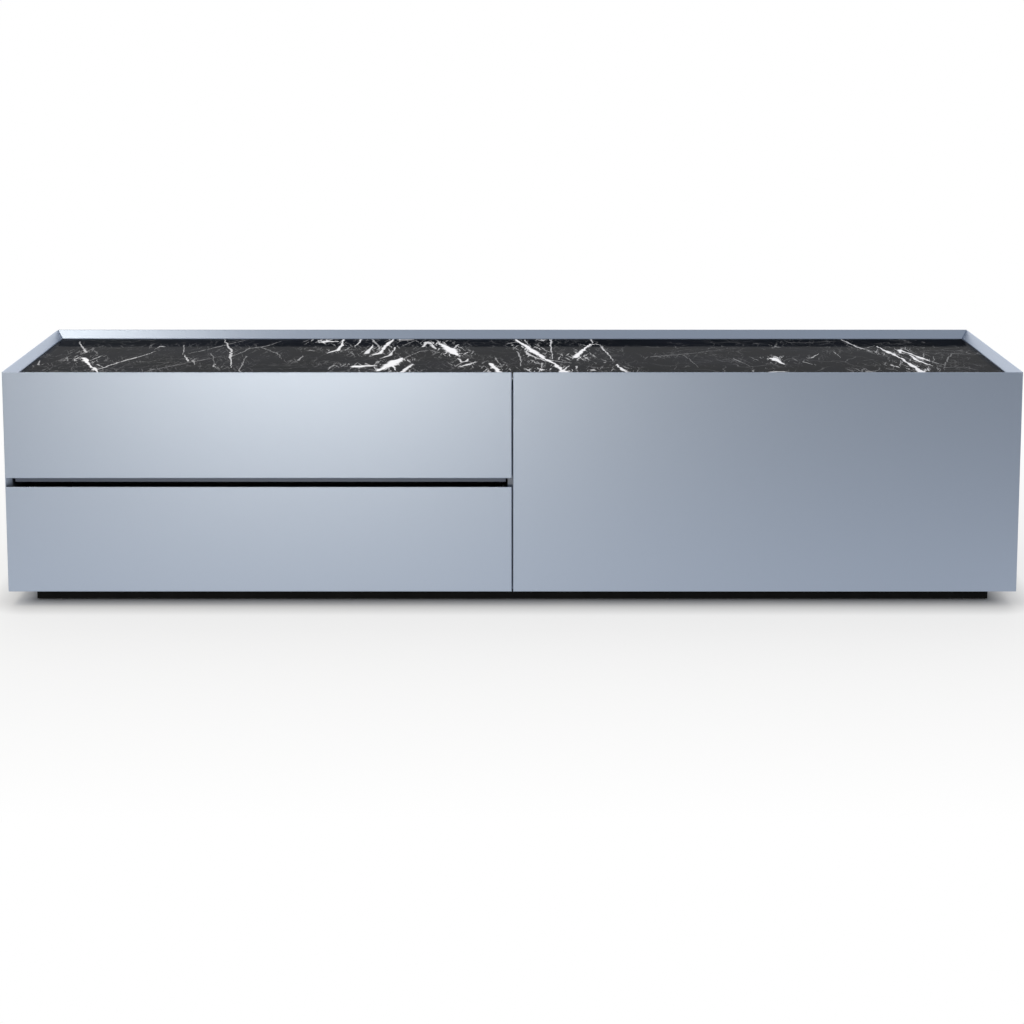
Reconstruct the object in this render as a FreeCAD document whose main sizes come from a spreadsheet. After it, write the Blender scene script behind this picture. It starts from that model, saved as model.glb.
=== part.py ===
import FreeCAD, Part
import os
import re
import Sketcher

# Lowboard: two drawers on the left, a drop-down flap on the right and an inset stone top.
# Origin at the floor under the middle, x to the right, y to the back, z up, in millimetres.

SIZES = {
    "overall_width": 2000,
    "overall_depth": 500,
    "plinth_height": 30,
    "front_height": 213.5,
    "grip_gap": 16,
    "board": 13,
    "rim_drop": 18,
    "front_gap": 2,
    "mitre_gap": 2.5,
    "front_space": 7,
    "base_board": 16,
    "deck_board": 16,
    "partition_board": 19,
    "slab_thickness": 20,
    "slab_step": 1.5,
    "slab_gap": 1.5,
    "slab_front_gap": 3,
    "pad_height": 2,
    "pad_radius": 20,
    "pad_inset": 87,
    "pad_side_inset": 67,
    "plinth_setback": 46.5,
    "plinth_board": 16,
    "stretcher_row": 320,
    "block_size": 40,
    "glide_height": 2,
    "glide_radius": 7,
    "glide_inset": 53.5,
    "screw_radius": 2,
    "screw_head_radius": 4,
    "screw_head_height": 2.5,
    "screw_bite": 9,
    "bore_play": 0.05,
    "bore_end": 0.5,
    "dowel_radius": 4,
    "dowel_bite": 8,
    "dowel_length": 30,
    "dowel_inset": 57,
    "shelf_board": 16,
    "shelf_rise": 186,
    "shelf_gap": 1,
    "shelf_front": 80,
    "shelf_back": 15,
    "pin_radius": 2.5,
    "pin_bite": 8,
    "pin_length": 18,
    "pin_inset": 40,
    "grommet_radius": 30,
    "grommet_wall": 2,
    "grommet_flange": 6,
    "grommet_flange_height": 2,
    "grommet_inset": 367,
    "grommet_rise": 94,
    "runner_gap": 12.7,
    "rail_wall": 1.5,
    "rail_play": 0.3,
    "rail_half": 22.5,
    "rail_length": 400,
    "rail_setback": 2,
    "box_board": 12,
    "box_back_space": 44,
    "box_groove": 5,
    "box_bottom": 8,
    "box_bottom_rise": 10,
    "upper_box_rise": 15.5,
    "upper_box_headroom": 15.5,
    "lower_box_rise": 14,
    "lower_box_headroom": 3.5,
    "fixing_inset": 120,
    "fixing_rise": 40,
    "grip_drop": 10,
    "grip_leg": 23,
    "grip_foot": 15,
    "grip_wall": 2,
    "grip_left_gap": 5,
    "grip_right_gap": 3.5,
    "hinge_inset": 3.5,
    "hinge_rise": 2.5,
    "hinge_pin_radius": 1.5,
    "hinge_knuckle_radius": 2.8,
    "hinge_plate": 1.5,
    "hinge_plate_start": 4,
    "hinge_plate_height": 24,
    "hinge_half": 30,
    "hinge_eye_half": 10,
    "hinge_play": 0.4,
    "hinge_first": 120,
    "leaf_screw_radius": 1.75,
    "leaf_screw_head_radius": 3,
    "leaf_screw_head_height": 1,
    "leaf_screw_row": 20,
    "leaf_screw_rise": 16,
    "leaf_screw_bite": 9,
    "damper_across": 60,
    "damper_rise": 25,
    "damper_reach": 170,
    "damper_offset": 8.5,
    "damper_body_radius": 11,
    "damper_body": 10,
    "damper_layer": 4,
    "damper_layer_gap": 0.3,
    "damper_arm_half": 6,
    "damper_eye_radius": 8,
    "damper_shaft_radius": 4,
    "damper_pin_radius": 2.5,
    "link_half": 4.5,
    "link_eye_radius": 6,
    "link_play": 0.3,
    "bracket_width": 6,
    "bracket_half": 8,
    "bracket_nose": 5,
    "latch_half": 15,
    "latch_height": 14,
    "latch_length": 60,
    "latch_setback": 1,
    "plunger_radius": 3,
    "plunger_length": 36,
    "plunger_play": 0.06,
    "plunger_gap": 0.3,
    "plunger_depth": 50,
    "strike_half": 9,
    "strike_height": 7,
    "strike_thickness": 1,
}

DERIVED = {
    "half_width": "overall_width / 2",
    "half_depth": "overall_depth / 2",
    "inside_x": "half_width - board",
    "inside_y": "half_depth - board",
    "lower_front_top": "plinth_height + front_height",
    "upper_front_low": "lower_front_top + grip_gap",
    "body_top": "upper_front_low + front_height",
    "rim_foot": "body_top - rim_drop",
    "board_front": "front_space - inside_y",
    "slab_top": "rim_foot - slab_step",
    "slab_low": "slab_top - slab_thickness",
    "deck_top": "slab_low - pad_height",
    "deck_low": "deck_top - deck_board",
    "floor_top": "plinth_height + base_board",
    "partition_x": "partition_board / 2",
    "plinth_x": "half_width - plinth_setback",
    "plinth_y": "half_depth - plinth_setback",
    "plinth_inner_x": "plinth_x - plinth_board",
    "plinth_inner_y": "plinth_y - plinth_board",
    "rail_front": "board_front + rail_setback",
    "rail_back": "rail_front + rail_length",
    "box_left": "runner_gap - inside_x",
    "box_right": "-partition_x - runner_gap",
    "box_back": "inside_y - box_back_space",
    "box_front_inner": "box_board - inside_y",
    "hinge_y": "hinge_inset - inside_y",
    "hinge_z": "plinth_height + hinge_rise",
    "arm_foot_y": "hinge_y + damper_across",
    "arm_foot_z": "hinge_z + damper_rise",
    "flap_pin_y": "hinge_y + damper_offset",
    "flap_pin_z": "hinge_z + damper_reach",
    "arm_end_y": "flap_pin_y + damper_across",
    "arm_end_z": "flap_pin_z + damper_rise",
    "flap_middle": "(front_gap / 2 + inside_x) / 2",
    "dowel_row": "inside_y - dowel_inset",
    "pad_row": "inside_y - pad_side_inset",
    "pad_end": "inside_x - pad_inset",
    "glide_row": "plinth_x - glide_inset",
    "grommet_across": "inside_x - grommet_inset",
    "grommet_level": "floor_top + grommet_rise",
    "shelf_level": "floor_top + shelf_rise",
    "pin_front": "bay_front_y + pin_inset",
    "pin_back": "inside_y - shelf_back - pin_inset",
    "upper_box_low": "upper_front_low + upper_box_rise",
    "upper_box_high": "deck_low - upper_box_headroom",
    "upper_rail_level": "(upper_box_low + upper_box_high) / 2",
    "lower_box_low": "floor_top + lower_box_rise",
    "lower_box_high": "lower_front_top - rim_drop - lower_box_headroom",
    "lower_rail_level": "(lower_box_low + lower_box_high) / 2",
    "plunger_z": "deck_low - latch_height / 2",
    "shelf_left": "partition_x + shelf_gap",
    "shelf_right": "inside_x - shelf_gap",
    "bay_front_y": "board_front + shelf_front",
}

SHEET = "Sizes"
START_RADIUS = 50
WORD = re.compile(r"[a-z_]+")

document = FreeCAD.newDocument("lowboard")
sheet = document.addObject("Spreadsheet::Sheet", SHEET)
for row, (name, value) in enumerate(SIZES.items(), start=1):
    sheet.set(f"A{row}", name)
    sheet.set(f"B{row}", str(value))
    sheet.setAlias(f"B{row}", name)
document.recompute()

pieces = []


def spelled(text):
    """Write an expression out in the cells of the sheet."""
    def word(match):
        name = match.group(0)
        if name in DERIVED:
            return "(" + spelled(DERIVED[name]) + ")"
        return f"{SHEET}.{name}"
    return WORD.sub(word, text)


def bind(item, prop, text):
    item.setExpression(prop, spelled(text))


def place(item, x, y, z):
    bind(item, "Placement.Base.x", x)
    bind(item, "Placement.Base.y", y)
    bind(item, "Placement.Base.z", z)


def keep(item, label):
    """Name a finished piece, which is then written to a file of that name."""
    item.Label = label
    pieces.append(item)
    return item


def block(x_low, x_high, y_low, y_high, z_low, z_high):
    item = document.addObject("Part::Box", "Block")
    bind(item, "Length", f"({x_high}) - ({x_low})")
    bind(item, "Width", f"({y_high}) - ({y_low})")
    bind(item, "Height", f"({z_high}) - ({z_low})")
    place(item, x_low, y_low, z_low)
    return item


TURNS = {
    "x": FreeCAD.Rotation(FreeCAD.Vector(0, 1, 0), 90),
    "y": FreeCAD.Rotation(FreeCAD.Vector(1, 0, 0), -90),
    "z": FreeCAD.Rotation(),
}


def rod(axis, radius, length, x, y, z):
    """A cylinder that starts at a point and runs along a positive axis."""
    item = document.addObject("Part::Cylinder", "Rod")
    item.Placement = FreeCAD.Placement(FreeCAD.Vector(), TURNS[axis])
    bind(item, "Radius", radius)
    bind(item, "Height", length)
    place(item, x, y, z)
    return item


def slant(low, high, y_low, y_high):
    """A board between two upright rectangles, each given as x and z limits."""
    item = document.addObject("Part::Wedge", "Slant")
    names = ("Xmin", "Xmax", "Zmin", "Zmax")
    for name, text in zip(names, low):
        bind(item, name, text)
    far_names = ("X2min", "X2max", "Z2min", "Z2max")
    for name, text in zip(far_names, high):
        bind(item, name, text)
    bind(item, "Ymin", y_low)
    bind(item, "Ymax", y_high)
    return item


def group(items):
    item = document.addObject("Part::Compound", "Group")
    item.Links = items
    return item


def fused(items):
    item = document.addObject("Part::MultiFuse", "Fused")
    item.Shapes = items
    return item


def drilled(base, tools):
    item = document.addObject("Part::Cut", "Drilled")
    item.Base = base
    item.Tool = tools[0] if len(tools) == 1 else group(tools)
    return item


def outline(body, plane, points):
    """A closed sketch, started as a ring of corners and held by sizes from the origin."""
    sketch = body.newObject("Sketcher::SketchObject", "Outline")
    planes = {item.Role: item for item in body.Origin.OriginFeatures}
    sketch.AttachmentSupport = [(planes[plane], "")]
    sketch.MapMode = "FlatFace"
    count = len(points)
    spots = []
    for index in range(count):
        turn = FreeCAD.Rotation(FreeCAD.Vector(0, 0, 1), 360 * index / count)
        spots.append(turn.multVec(FreeCAD.Vector(START_RADIUS, 0, 0)))
    for index in range(count):
        sketch.addGeometry(Part.LineSegment(spots[index], spots[(index + 1) % count]))
    for index in range(count):
        sketch.addConstraint(Sketcher.Constraint("Coincident", index, 2, (index + 1) % count, 1))
    for index, (across, up) in enumerate(points):
        hold = Sketcher.Constraint("DistanceX", -1, 1, index, 1, spots[index].x)
        bind(sketch, f"Constraints[{sketch.addConstraint(hold)}]", across)
        hold = Sketcher.Constraint("DistanceY", -1, 1, index, 1, spots[index].y)
        bind(sketch, f"Constraints[{sketch.addConstraint(hold)}]", up)
    return sketch


def extrusion(plane, points, length):
    """A padded outline: XZ runs towards the front, YZ to the right, from the plane."""
    body = document.addObject("PartDesign::Body", "Extrusion")
    pad = body.newObject("PartDesign::Pad", "Pad")
    pad.Profile = outline(body, plane, points)
    bind(pad, "Length", length)
    body.Tip = pad
    return body


def dowel_bores(spots):
    return [rod(axis, "dowel_radius + bore_play", length, x, y, z) for axis, length, x, y, z in spots]


# Carcass dowels: along x at the ends of the two long boards, along z at the partition.
ROWS = ("-dowel_row", "0", "dowel_row")
FLOOR_MIDDLE = "plinth_height + base_board / 2"
DECK_MIDDLE = "deck_low + deck_board / 2"
FULL_BORE = "dowel_length + 2 * bore_end"
side_bores = {"left": [], "right": []}
board_bores = {"floor": [], "deck": [], "partition": []}
dowels = []
for level_name, level in (("floor", FLOOR_MIDDLE), ("deck", DECK_MIDDLE)):
    for y in ROWS:
        starts = {
            "left": "-inside_x - dowel_bite",
            "right": "inside_x + dowel_bite - dowel_length",
        }
        for hand, start in starts.items():
            dowels.append(rod("x", "dowel_radius", "dowel_length", start, y, level))
            bore = ("x", FULL_BORE, f"{start} - bore_end", y, level)
            side_bores[hand].append(bore)
            board_bores[level_name].append(bore)
stands = {
    "floor": "floor_top - dowel_bite",
    "deck": "deck_low + dowel_bite - dowel_length",
}
for level_name, start in stands.items():
    for y in ROWS:
        dowels.append(rod("z", "dowel_radius", "dowel_length", "0", y, start))
        bore = ("z", FULL_BORE, "0", y, f"{start} - bore_end")
        board_bores[level_name].append(bore)
        board_bores["partition"].append(bore)
keep(group(dowels), "carcass_dowels")

# Shelf pins sit half in the partition and half in the right side.
PIN_Z = "shelf_level - pin_radius - bore_play"
PIN_LEFT = "partition_x - pin_bite"
PIN_RIGHT = "inside_x + pin_bite - pin_length"
pin_spots = [(x, y) for x in (PIN_LEFT, PIN_RIGHT) for y in ("pin_front", "pin_back")]
keep(group([rod("x", "pin_radius", "pin_length", x, y, PIN_Z) for x, y in pin_spots]), "shelf_pins")


def pin_bores(x):
    reach = "pin_length + 2 * bore_end"
    bores = []
    for y in ("pin_front", "pin_back"):
        bores.append(rod("x", "pin_radius + bore_play", reach, f"{x} - bore_end", y, PIN_Z))
    return bores


# Shell: every board tapers to a sharp outer edge, so rim and corners are mitred.
side_inner = ("mitre_gap - inside_y", "inside_y", "plinth_height", "rim_foot")
side_outer = ("mitre_gap - half_depth", "half_depth", "plinth_height", "body_top")
quarter_turn = FreeCAD.Placement(FreeCAD.Vector(), FreeCAD.Rotation(FreeCAD.Vector(0, 0, 1), 90))
left_board = slant(side_inner, side_outer, "inside_x", "half_width")
left_board.Placement = quarter_turn
keep(drilled(left_board, dowel_bores(side_bores["left"])), "left_side")
right_board = slant(side_outer, side_inner, "-half_width", "-inside_x")
right_board.Placement = quarter_turn
keep(drilled(right_board, dowel_bores(side_bores["right"]) + pin_bores(PIN_RIGHT)), "right_side")
back_board = slant(
    ("-inside_x", "inside_x", "plinth_height", "rim_foot"),
    ("-half_width", "half_width", "plinth_height", "body_top"),
    "inside_y",
    "half_depth",
)
outlet = rod("y", "grommet_radius", "3 * board", "grommet_across", "inside_y - board", "grommet_level")
keep(drilled(back_board, [outlet]), "back_panel")

# The cable grommet is turned about its own y axis, with its flange on the inner face of the back.
ring = document.addObject("PartDesign::Body", "Ring")
turned = ring.newObject("PartDesign::Revolution", "Turned")
ring_outer = "grommet_radius - bore_play"
ring_bore = "grommet_radius - grommet_wall"
ring_points = [
    (ring_bore, "0"),
    (ring_outer, "0"),
    (ring_outer, "board"),
    ("grommet_radius + grommet_flange", "board"),
    ("grommet_radius + grommet_flange", "board + grommet_flange_height"),
    (ring_bore, "board + grommet_flange_height"),
]
turned.Profile = outline(ring, "XY_Plane", ring_points)
turned.ReferenceAxis = (turned.Profile[0], ["V_Axis"])
turned.Angle = 360
ring.Tip = turned
ring.Placement = FreeCAD.Placement(FreeCAD.Vector(), FreeCAD.Rotation(FreeCAD.Vector(1, 0, 0), 180))
place(ring, "grommet_across", "half_depth", "grommet_level")
keep(ring, "cable_grommet")

floor_board = block("-inside_x", "inside_x", "board_front", "inside_y", "plinth_height", "floor_top")
deck_panel = block("-inside_x", "inside_x", "board_front", "inside_y", "deck_low", "deck_top")
keep(drilled(deck_panel, dowel_bores(board_bores["deck"])), "top_panel")
middle_board = block("-partition_x", "partition_x", "board_front", "inside_y", "floor_top", "deck_low")
keep(drilled(middle_board, dowel_bores(board_bores["partition"]) + pin_bores(PIN_LEFT)), "centre_partition")
keep(
    block("shelf_left", "shelf_right", "bay_front_y", "inside_y - shelf_back", "shelf_level", "shelf_level + shelf_board"),
    "shelf",
)

# Stone top on its pads.
keep(
    block(
        "slab_gap - inside_x",
        "inside_x - slab_gap",
        "slab_front_gap - inside_y",
        "inside_y - slab_gap",
        "slab_low",
        "slab_top",
    ),
    "marble_top",
)
PAD_ENDS = ("-pad_end", "-pad_end / 2", "0", "pad_end / 2", "pad_end")
pad_spots = [(x, y) for x in PAD_ENDS for y in ("-pad_row", "pad_row")]
keep(group([rod("z", "pad_radius", "pad_height", x, y, "deck_top") for x, y in pad_spots]), "marble_pads")

# Plinth frame on low glides, held up to the floor board by screws through its corner blocks.
keep(
    block("-plinth_x", "plinth_x", "-plinth_y", "-plinth_inner_y", "glide_height", "plinth_height"),
    "plinth_front",
)
keep(
    block("-plinth_x", "plinth_x", "plinth_inner_y", "plinth_y", "glide_height", "plinth_height"),
    "plinth_back",
)
keep(
    block("-plinth_x", "-plinth_inner_x", "-plinth_inner_y", "plinth_inner_y", "glide_height", "plinth_height"),
    "plinth_left",
)
keep(
    block("plinth_inner_x", "plinth_x", "-plinth_inner_y", "plinth_inner_y", "glide_height", "plinth_height"),
    "plinth_right",
)
stretchers = []
for middle in ("-stretcher_row", "stretcher_row"):
    stretchers.append(
        block(
            f"{middle} - plinth_board / 2",
            f"{middle} + plinth_board / 2",
            "-plinth_inner_y",
            "plinth_inner_y",
            "glide_height",
            "plinth_height",
        )
    )
keep(group(stretchers), "plinth_stretchers")
BLOCK_LOW = "glide_height + plinth_board / 2"
corners = (("-1", "-1"), ("1", "-1"), ("-1", "1"), ("1", "1"))
blocks = []
block_screws = []
block_bores = []
floor_bores = []
for hand, end in corners:
    x = f"{hand} * (plinth_inner_x - block_size / 2)"
    y = f"{end} * (plinth_inner_y - block_size / 2)"
    half = "block_size / 2"
    blocks.append(block(f"{x} - {half}", f"{x} + {half}", f"{y} - {half}", f"{y} + {half}", BLOCK_LOW, "plinth_height"))
    shank = f"plinth_height - ({BLOCK_LOW}) + screw_bite"
    head_low = f"{BLOCK_LOW} - screw_head_height"
    head = rod("z", "screw_head_radius", "screw_head_height", x, y, head_low)
    block_screws.append(fused([rod("z", "screw_radius", shank, x, y, BLOCK_LOW), head]))
    for bores in (block_bores, floor_bores):
        bores.append(rod("z", "screw_radius + bore_play", f"{shank} + bore_end", x, y, BLOCK_LOW))
keep(drilled(group(blocks), block_bores), "plinth_blocks")
keep(group(block_screws), "plinth_screws")
glide_spots = []
for x in ("-glide_row", "-stretcher_row", "stretcher_row", "glide_row"):
    for y in ("plinth_board / 2 - plinth_y", "plinth_y - plinth_board / 2"):
        glide_spots.append(rod("z", "glide_radius", "glide_height", x, y, "0"))
keep(group(glide_spots), "glides")


def channel(start, hand, web_from, web_to, lip, half, wall, level):
    """A C rail along y: web between two depths from its seat, lips to a third depth."""
    def at(depth):
        return f"{start} + {hand} * ({depth})"
    inner = f"({half} - {wall})"
    points = [
        (at(web_from), f"{level} - {half}"),
        (at(lip), f"{level} - {half}"),
        (at(lip), f"{level} - {inner}"),
        (at(web_to), f"{level} - {inner}"),
        (at(web_to), f"{level} + {inner}"),
        (at(lip), f"{level} + {inner}"),
        (at(lip), f"{level} + {half}"),
        (at(web_from), f"{level} + {half}"),
    ]
    body = extrusion("XZ_Plane", points, "rail_length")
    bind(body, "Placement.Base.y", "rail_back")
    return body


STEP = "(rail_wall + rail_play)"
for name, level in (("upper", "upper_rail_level"), ("lower", "lower_rail_level")):
    for side, start, hand in (("left", "-inside_x", "1"), ("right", "-partition_x", "-1")):
        lip = "runner_gap - rail_wall - rail_play"
        middle_half = f"(rail_half - {STEP})"
        inner_half = f"(rail_half - 2 * {STEP})"
        outer = channel(start, hand, "0", "rail_wall", lip, "rail_half", "rail_wall", level)
        keep(outer, f"{name}_{side}_outer_rail")
        middle = channel(start, hand, STEP, f"{STEP} + rail_wall", lip, middle_half, "rail_wall", level)
        keep(middle, f"{name}_{side}_middle_rail")
        inner = channel(
            start,
            hand,
            "runner_gap",
            "runner_gap - rail_wall",
            f"2 * {STEP}",
            inner_half,
            "rail_wall",
            level,
        )
        keep(inner, f"{name}_{side}_inner_rail")


def drawer(name, front_low, front_high, box_low, box_high):
    """One drawer: lacquered front, grooved box and the screws between them."""
    inner_left = "box_left + box_board"
    inner_right = "box_right - box_board"
    slot_low = f"{box_low} + box_bottom_rise"
    slot_high = f"{slot_low} + box_bottom"
    slot = ("box_left + box_board - box_groove", "box_right - box_board + box_groove")
    slot_front = "box_front_inner - box_groove"

    def bottom_space():
        return block(slot[0], slot[1], slot_front, "box_back", slot_low, slot_high)

    keep(bottom_space(), f"{name}_drawer_bottom")
    left_wall = block("box_left", inner_left, "-inside_y", "box_back", box_low, box_high)
    keep(drilled(left_wall, [bottom_space()]), f"{name}_drawer_left")
    right_wall = block(inner_right, "box_right", "-inside_y", "box_back", box_low, box_high)
    keep(drilled(right_wall, [bottom_space()]), f"{name}_drawer_right")
    keep(
        block(inner_left, inner_right, "box_back - box_board", "box_back", slot_high, box_high),
        f"{name}_drawer_back",
    )
    screws = []
    bores = {"subfront": [], "front": []}
    shank = "box_board + screw_bite"
    shank_start = "-inside_y - screw_bite"
    for x in (f"{inner_left} + fixing_inset", f"{inner_right} - fixing_inset"):
        for z in (f"{slot_high} + fixing_rise / 2", f"{box_high} - fixing_rise / 2"):
            head = rod("y", "screw_head_radius", "screw_head_height", x, "box_front_inner", z)
            screws.append(fused([rod("y", "screw_radius", shank, x, shank_start, z), head]))
            for tools in bores.values():
                bore = rod("y", "screw_radius + bore_play", f"{shank} + bore_end", x, f"{shank_start} - bore_end", z)
                tools.append(bore)
    keep(group(screws), f"{name}_drawer_screws")
    subfront = block(inner_left, inner_right, "-inside_y", "box_front_inner", box_low, box_high)
    keep(drilled(subfront, [bottom_space()] + bores["subfront"]), f"{name}_drawer_subfront")
    front = slant(
        ("-half_width", "-front_gap / 2", front_low, front_high),
        ("-inside_x", "-front_gap / 2", front_low, f"{front_high} - rim_drop"),
        "-half_depth",
        "-inside_y",
    )
    keep(drilled(front, bores["front"]), f"{name}_drawer_front")


drawer("upper", "upper_front_low", "body_top", "upper_box_low", "upper_box_high")
drawer("lower", "plinth_height", "lower_front_top", "lower_box_low", "lower_box_high")

# The grip rail hangs behind the lower edge of the upper front as its finger pull.
GRIP_LOW = "upper_front_low - grip_drop"
grip_points = [
    ("-inside_y", GRIP_LOW),
    ("grip_foot - inside_y", GRIP_LOW),
    ("grip_foot - inside_y", f"{GRIP_LOW} + grip_wall"),
    ("grip_wall - inside_y", f"{GRIP_LOW} + grip_wall"),
    ("grip_wall - inside_y", f"{GRIP_LOW} + grip_leg"),
    ("-inside_y", f"{GRIP_LOW} + grip_leg"),
]
grip = extrusion("YZ_Plane", grip_points, "inside_x - grip_left_gap - partition_x - grip_right_gap")
bind(grip, "Placement.Base.x", "grip_left_gap - inside_x")
keep(grip, "grip_rail")

# Flap on three pinned hinges in the gap before the floor board.
def knuckle(x_low, x_high, y_low, y_high):
    eye = rod("x", "hinge_knuckle_radius", f"({x_high}) - ({x_low})", x_low, "hinge_y", "hinge_z")
    web = block(x_low, x_high, y_low, y_high, "hinge_z", "hinge_z + hinge_plate_start + hinge_plate")
    return [eye, web]


def leaf_screw(x, y_tip, y_head, head_turn, z):
    """A leaf screw and the bore for it, along y, with its head on one side of the leaf."""
    reach = f"({y_head}) - ({y_tip})" if head_turn > 0 else f"({y_tip}) - ({y_head})"
    low = y_tip if head_turn > 0 else y_head
    head_low = y_head if head_turn > 0 else f"{y_head} - leaf_screw_head_height"
    shank = rod("y", "leaf_screw_radius", reach, x, low, z)
    head = rod("y", "leaf_screw_head_radius", "leaf_screw_head_height", x, head_low, z)
    bore_low = f"{low} - bore_end" if head_turn > 0 else low
    bores = []
    for _ in ("leaf", "board"):
        bores.append(rod("y", "leaf_screw_radius + bore_play", f"{reach} + bore_end", x, bore_low, z))
    return fused([shank, head]), bores


fixed_leaves = []
moving_leaves = []
hinge_pins = []
flap_screws = []
flap_bores = []
leaf_screws = []
hinge_spots = (
    "front_gap / 2 + hinge_first",
    "flap_middle",
    "inside_x - hinge_first",
)
for x in hinge_spots:
    low = f"{x} - hinge_half"
    high = f"{x} + hinge_half"
    plate_low = "hinge_z + hinge_plate_start"
    flap_face = ("-inside_y", "hinge_plate - inside_y")
    board_face = ("board_front - hinge_plate", "board_front")
    moving = [block(low, high, flap_face[0], flap_face[1], plate_low, f"{plate_low} + hinge_plate_height")]
    moving += knuckle(f"{x} - hinge_eye_half", f"{x} + hinge_eye_half", flap_face[0], flap_face[1])
    fixed = [block(low, high, board_face[0], board_face[1], plate_low, "floor_top")]
    fixed += knuckle(low, f"{x} - hinge_eye_half - hinge_play", board_face[0], board_face[1])
    fixed += knuckle(f"{x} + hinge_eye_half + hinge_play", high, board_face[0], board_face[1])
    moving_bores = []
    fixed_bores = []
    for spot in (f"{x} - leaf_screw_row", f"{x} + leaf_screw_row"):
        screw, bores = leaf_screw(
            spot,
            "-inside_y - leaf_screw_bite",
            flap_face[1],
            1,
            f"{plate_low} + leaf_screw_rise",
        )
        flap_screws.append(screw)
        moving_bores.append(bores[0])
        flap_bores.append(bores[1])
        screw, bores = leaf_screw(
            spot,
            "board_front + leaf_screw_bite",
            board_face[0],
            -1,
            f"(({plate_low}) + floor_top) / 2",
        )
        leaf_screws.append(screw)
        fixed_bores.append(bores[0])
        floor_bores.append(bores[1])
    leaf_sets = ((moving, moving_leaves, moving_bores), (fixed, fixed_leaves, fixed_bores))
    for leaf, leaves, bores in leaf_sets:
        bore = rod("x", "hinge_pin_radius + bore_play", "2 * hinge_half", low, "hinge_y", "hinge_z")
        leaves.append(drilled(fused(leaf), [bore] + bores))
    hinge_pins.append(rod("x", "hinge_pin_radius", "2 * hinge_half", low, "hinge_y", "hinge_z"))
keep(group(fixed_leaves), "flap_fixed_leaves")
keep(group(moving_leaves), "flap_moving_leaves")
keep(group(hinge_pins), "flap_hinge_pins")
keep(group(flap_screws), "flap_leaf_screws")
keep(group(leaf_screws), "board_leaf_screws")
flap_board = slant(
    ("front_gap / 2", "half_width", "plinth_height", "body_top"),
    ("front_gap / 2", "inside_x", "plinth_height", "rim_foot"),
    "-half_depth",
    "-inside_y",
)
keep(drilled(flap_board, flap_bores), "flap_panel")
keep(drilled(floor_board, dowel_bores(board_bores["floor"]) + floor_bores), "bottom_panel")

# Soft-down dampers, one at each end: body on the carcass, arm, link and a bracket on the flap.
ARM_NEAR = "damper_body + damper_layer_gap"
LINK_NEAR = f"({ARM_NEAR} + damper_layer + damper_layer_gap)"
LINK_FAR = f"({LINK_NEAR} + damper_layer)"
BRACKET_NEAR = f"({LINK_FAR} + damper_layer_gap)"
damper_bodies = []
damper_arms = []
damper_links = []
flap_brackets = []
for start, hand in (("partition_x", 1), ("inside_x", -1)):
    def layer(near, far):
        """The lower x and the width of a layer counted from its carcass face."""
        width = f"({far}) - ({near})"
        if hand > 0:
            return f"{start} + {near}", width
        return f"{start} - ({far})", width

    def pivot(radius, near, far, y, z):
        x, width = layer(near, far)
        return rod("x", radius, width, x, y, z)

    def plate(points, near, far):
        x, width = layer(near, far)
        body = extrusion("YZ_Plane", points, width)
        bind(body, "Placement.Base.x", x)
        return body

    foot = ("arm_foot_y", "arm_foot_z")
    end = ("arm_end_y", "arm_end_z")
    flap_end = ("flap_pin_y", "flap_pin_z")
    arm_far = f"{ARM_NEAR} + damper_layer"
    damper_bodies.append(
        fused([
            pivot("damper_body_radius", "0", "damper_body", *foot),
            pivot("damper_shaft_radius", "0", arm_far, *foot),
        ])
    )
    arm_points = [
        ("arm_foot_y - damper_arm_half", "arm_foot_z"),
        ("arm_foot_y + damper_arm_half", "arm_foot_z"),
        ("arm_end_y + damper_arm_half", "arm_end_z"),
        ("arm_end_y - damper_arm_half", "arm_end_z"),
    ]
    arm_solid = fused([
        plate(arm_points, ARM_NEAR, arm_far),
        pivot("damper_eye_radius", ARM_NEAR, arm_far, *foot),
        pivot("damper_eye_radius", ARM_NEAR, arm_far, *end),
        pivot("damper_pin_radius", ARM_NEAR, LINK_FAR, *end),
    ])
    damper_arms.append(drilled(arm_solid, [pivot("damper_shaft_radius + bore_play", ARM_NEAR, arm_far, *foot)]))
    link_points = [
        ("flap_pin_y", "flap_pin_z - link_half"),
        ("arm_end_y", "arm_end_z - link_half"),
        ("arm_end_y", "arm_end_z + link_half"),
        ("flap_pin_y", "flap_pin_z + link_half"),
    ]
    link_solid = fused([
        plate(link_points, LINK_NEAR, LINK_FAR),
        pivot("link_eye_radius", LINK_NEAR, LINK_FAR, *end),
        pivot("link_eye_radius", LINK_NEAR, LINK_FAR, *flap_end),
    ])
    damper_links.append(
        drilled(link_solid, [
            pivot("damper_pin_radius + bore_play", LINK_NEAR, LINK_FAR, *end),
            pivot("damper_pin_radius + link_play", LINK_NEAR, LINK_FAR, *flap_end),
        ])
    )
    lug_x, lug_width = layer(BRACKET_NEAR, f"{BRACKET_NEAR} + bracket_width")
    lug = block(
        lug_x,
        f"{lug_x} + {lug_width}",
        "-inside_y",
        "flap_pin_y + bracket_nose",
        "flap_pin_z - bracket_half",
        "flap_pin_z + bracket_half",
    )
    flap_brackets.append(
        fused([lug, pivot("damper_pin_radius", LINK_NEAR, f"{BRACKET_NEAR} + bracket_width", *flap_end)])
    )
keep(group(damper_bodies), "damper_bodies")
keep(group(damper_arms), "damper_arms")
keep(group(damper_links), "damper_links")
keep(group(flap_brackets), "flap_brackets")

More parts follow.
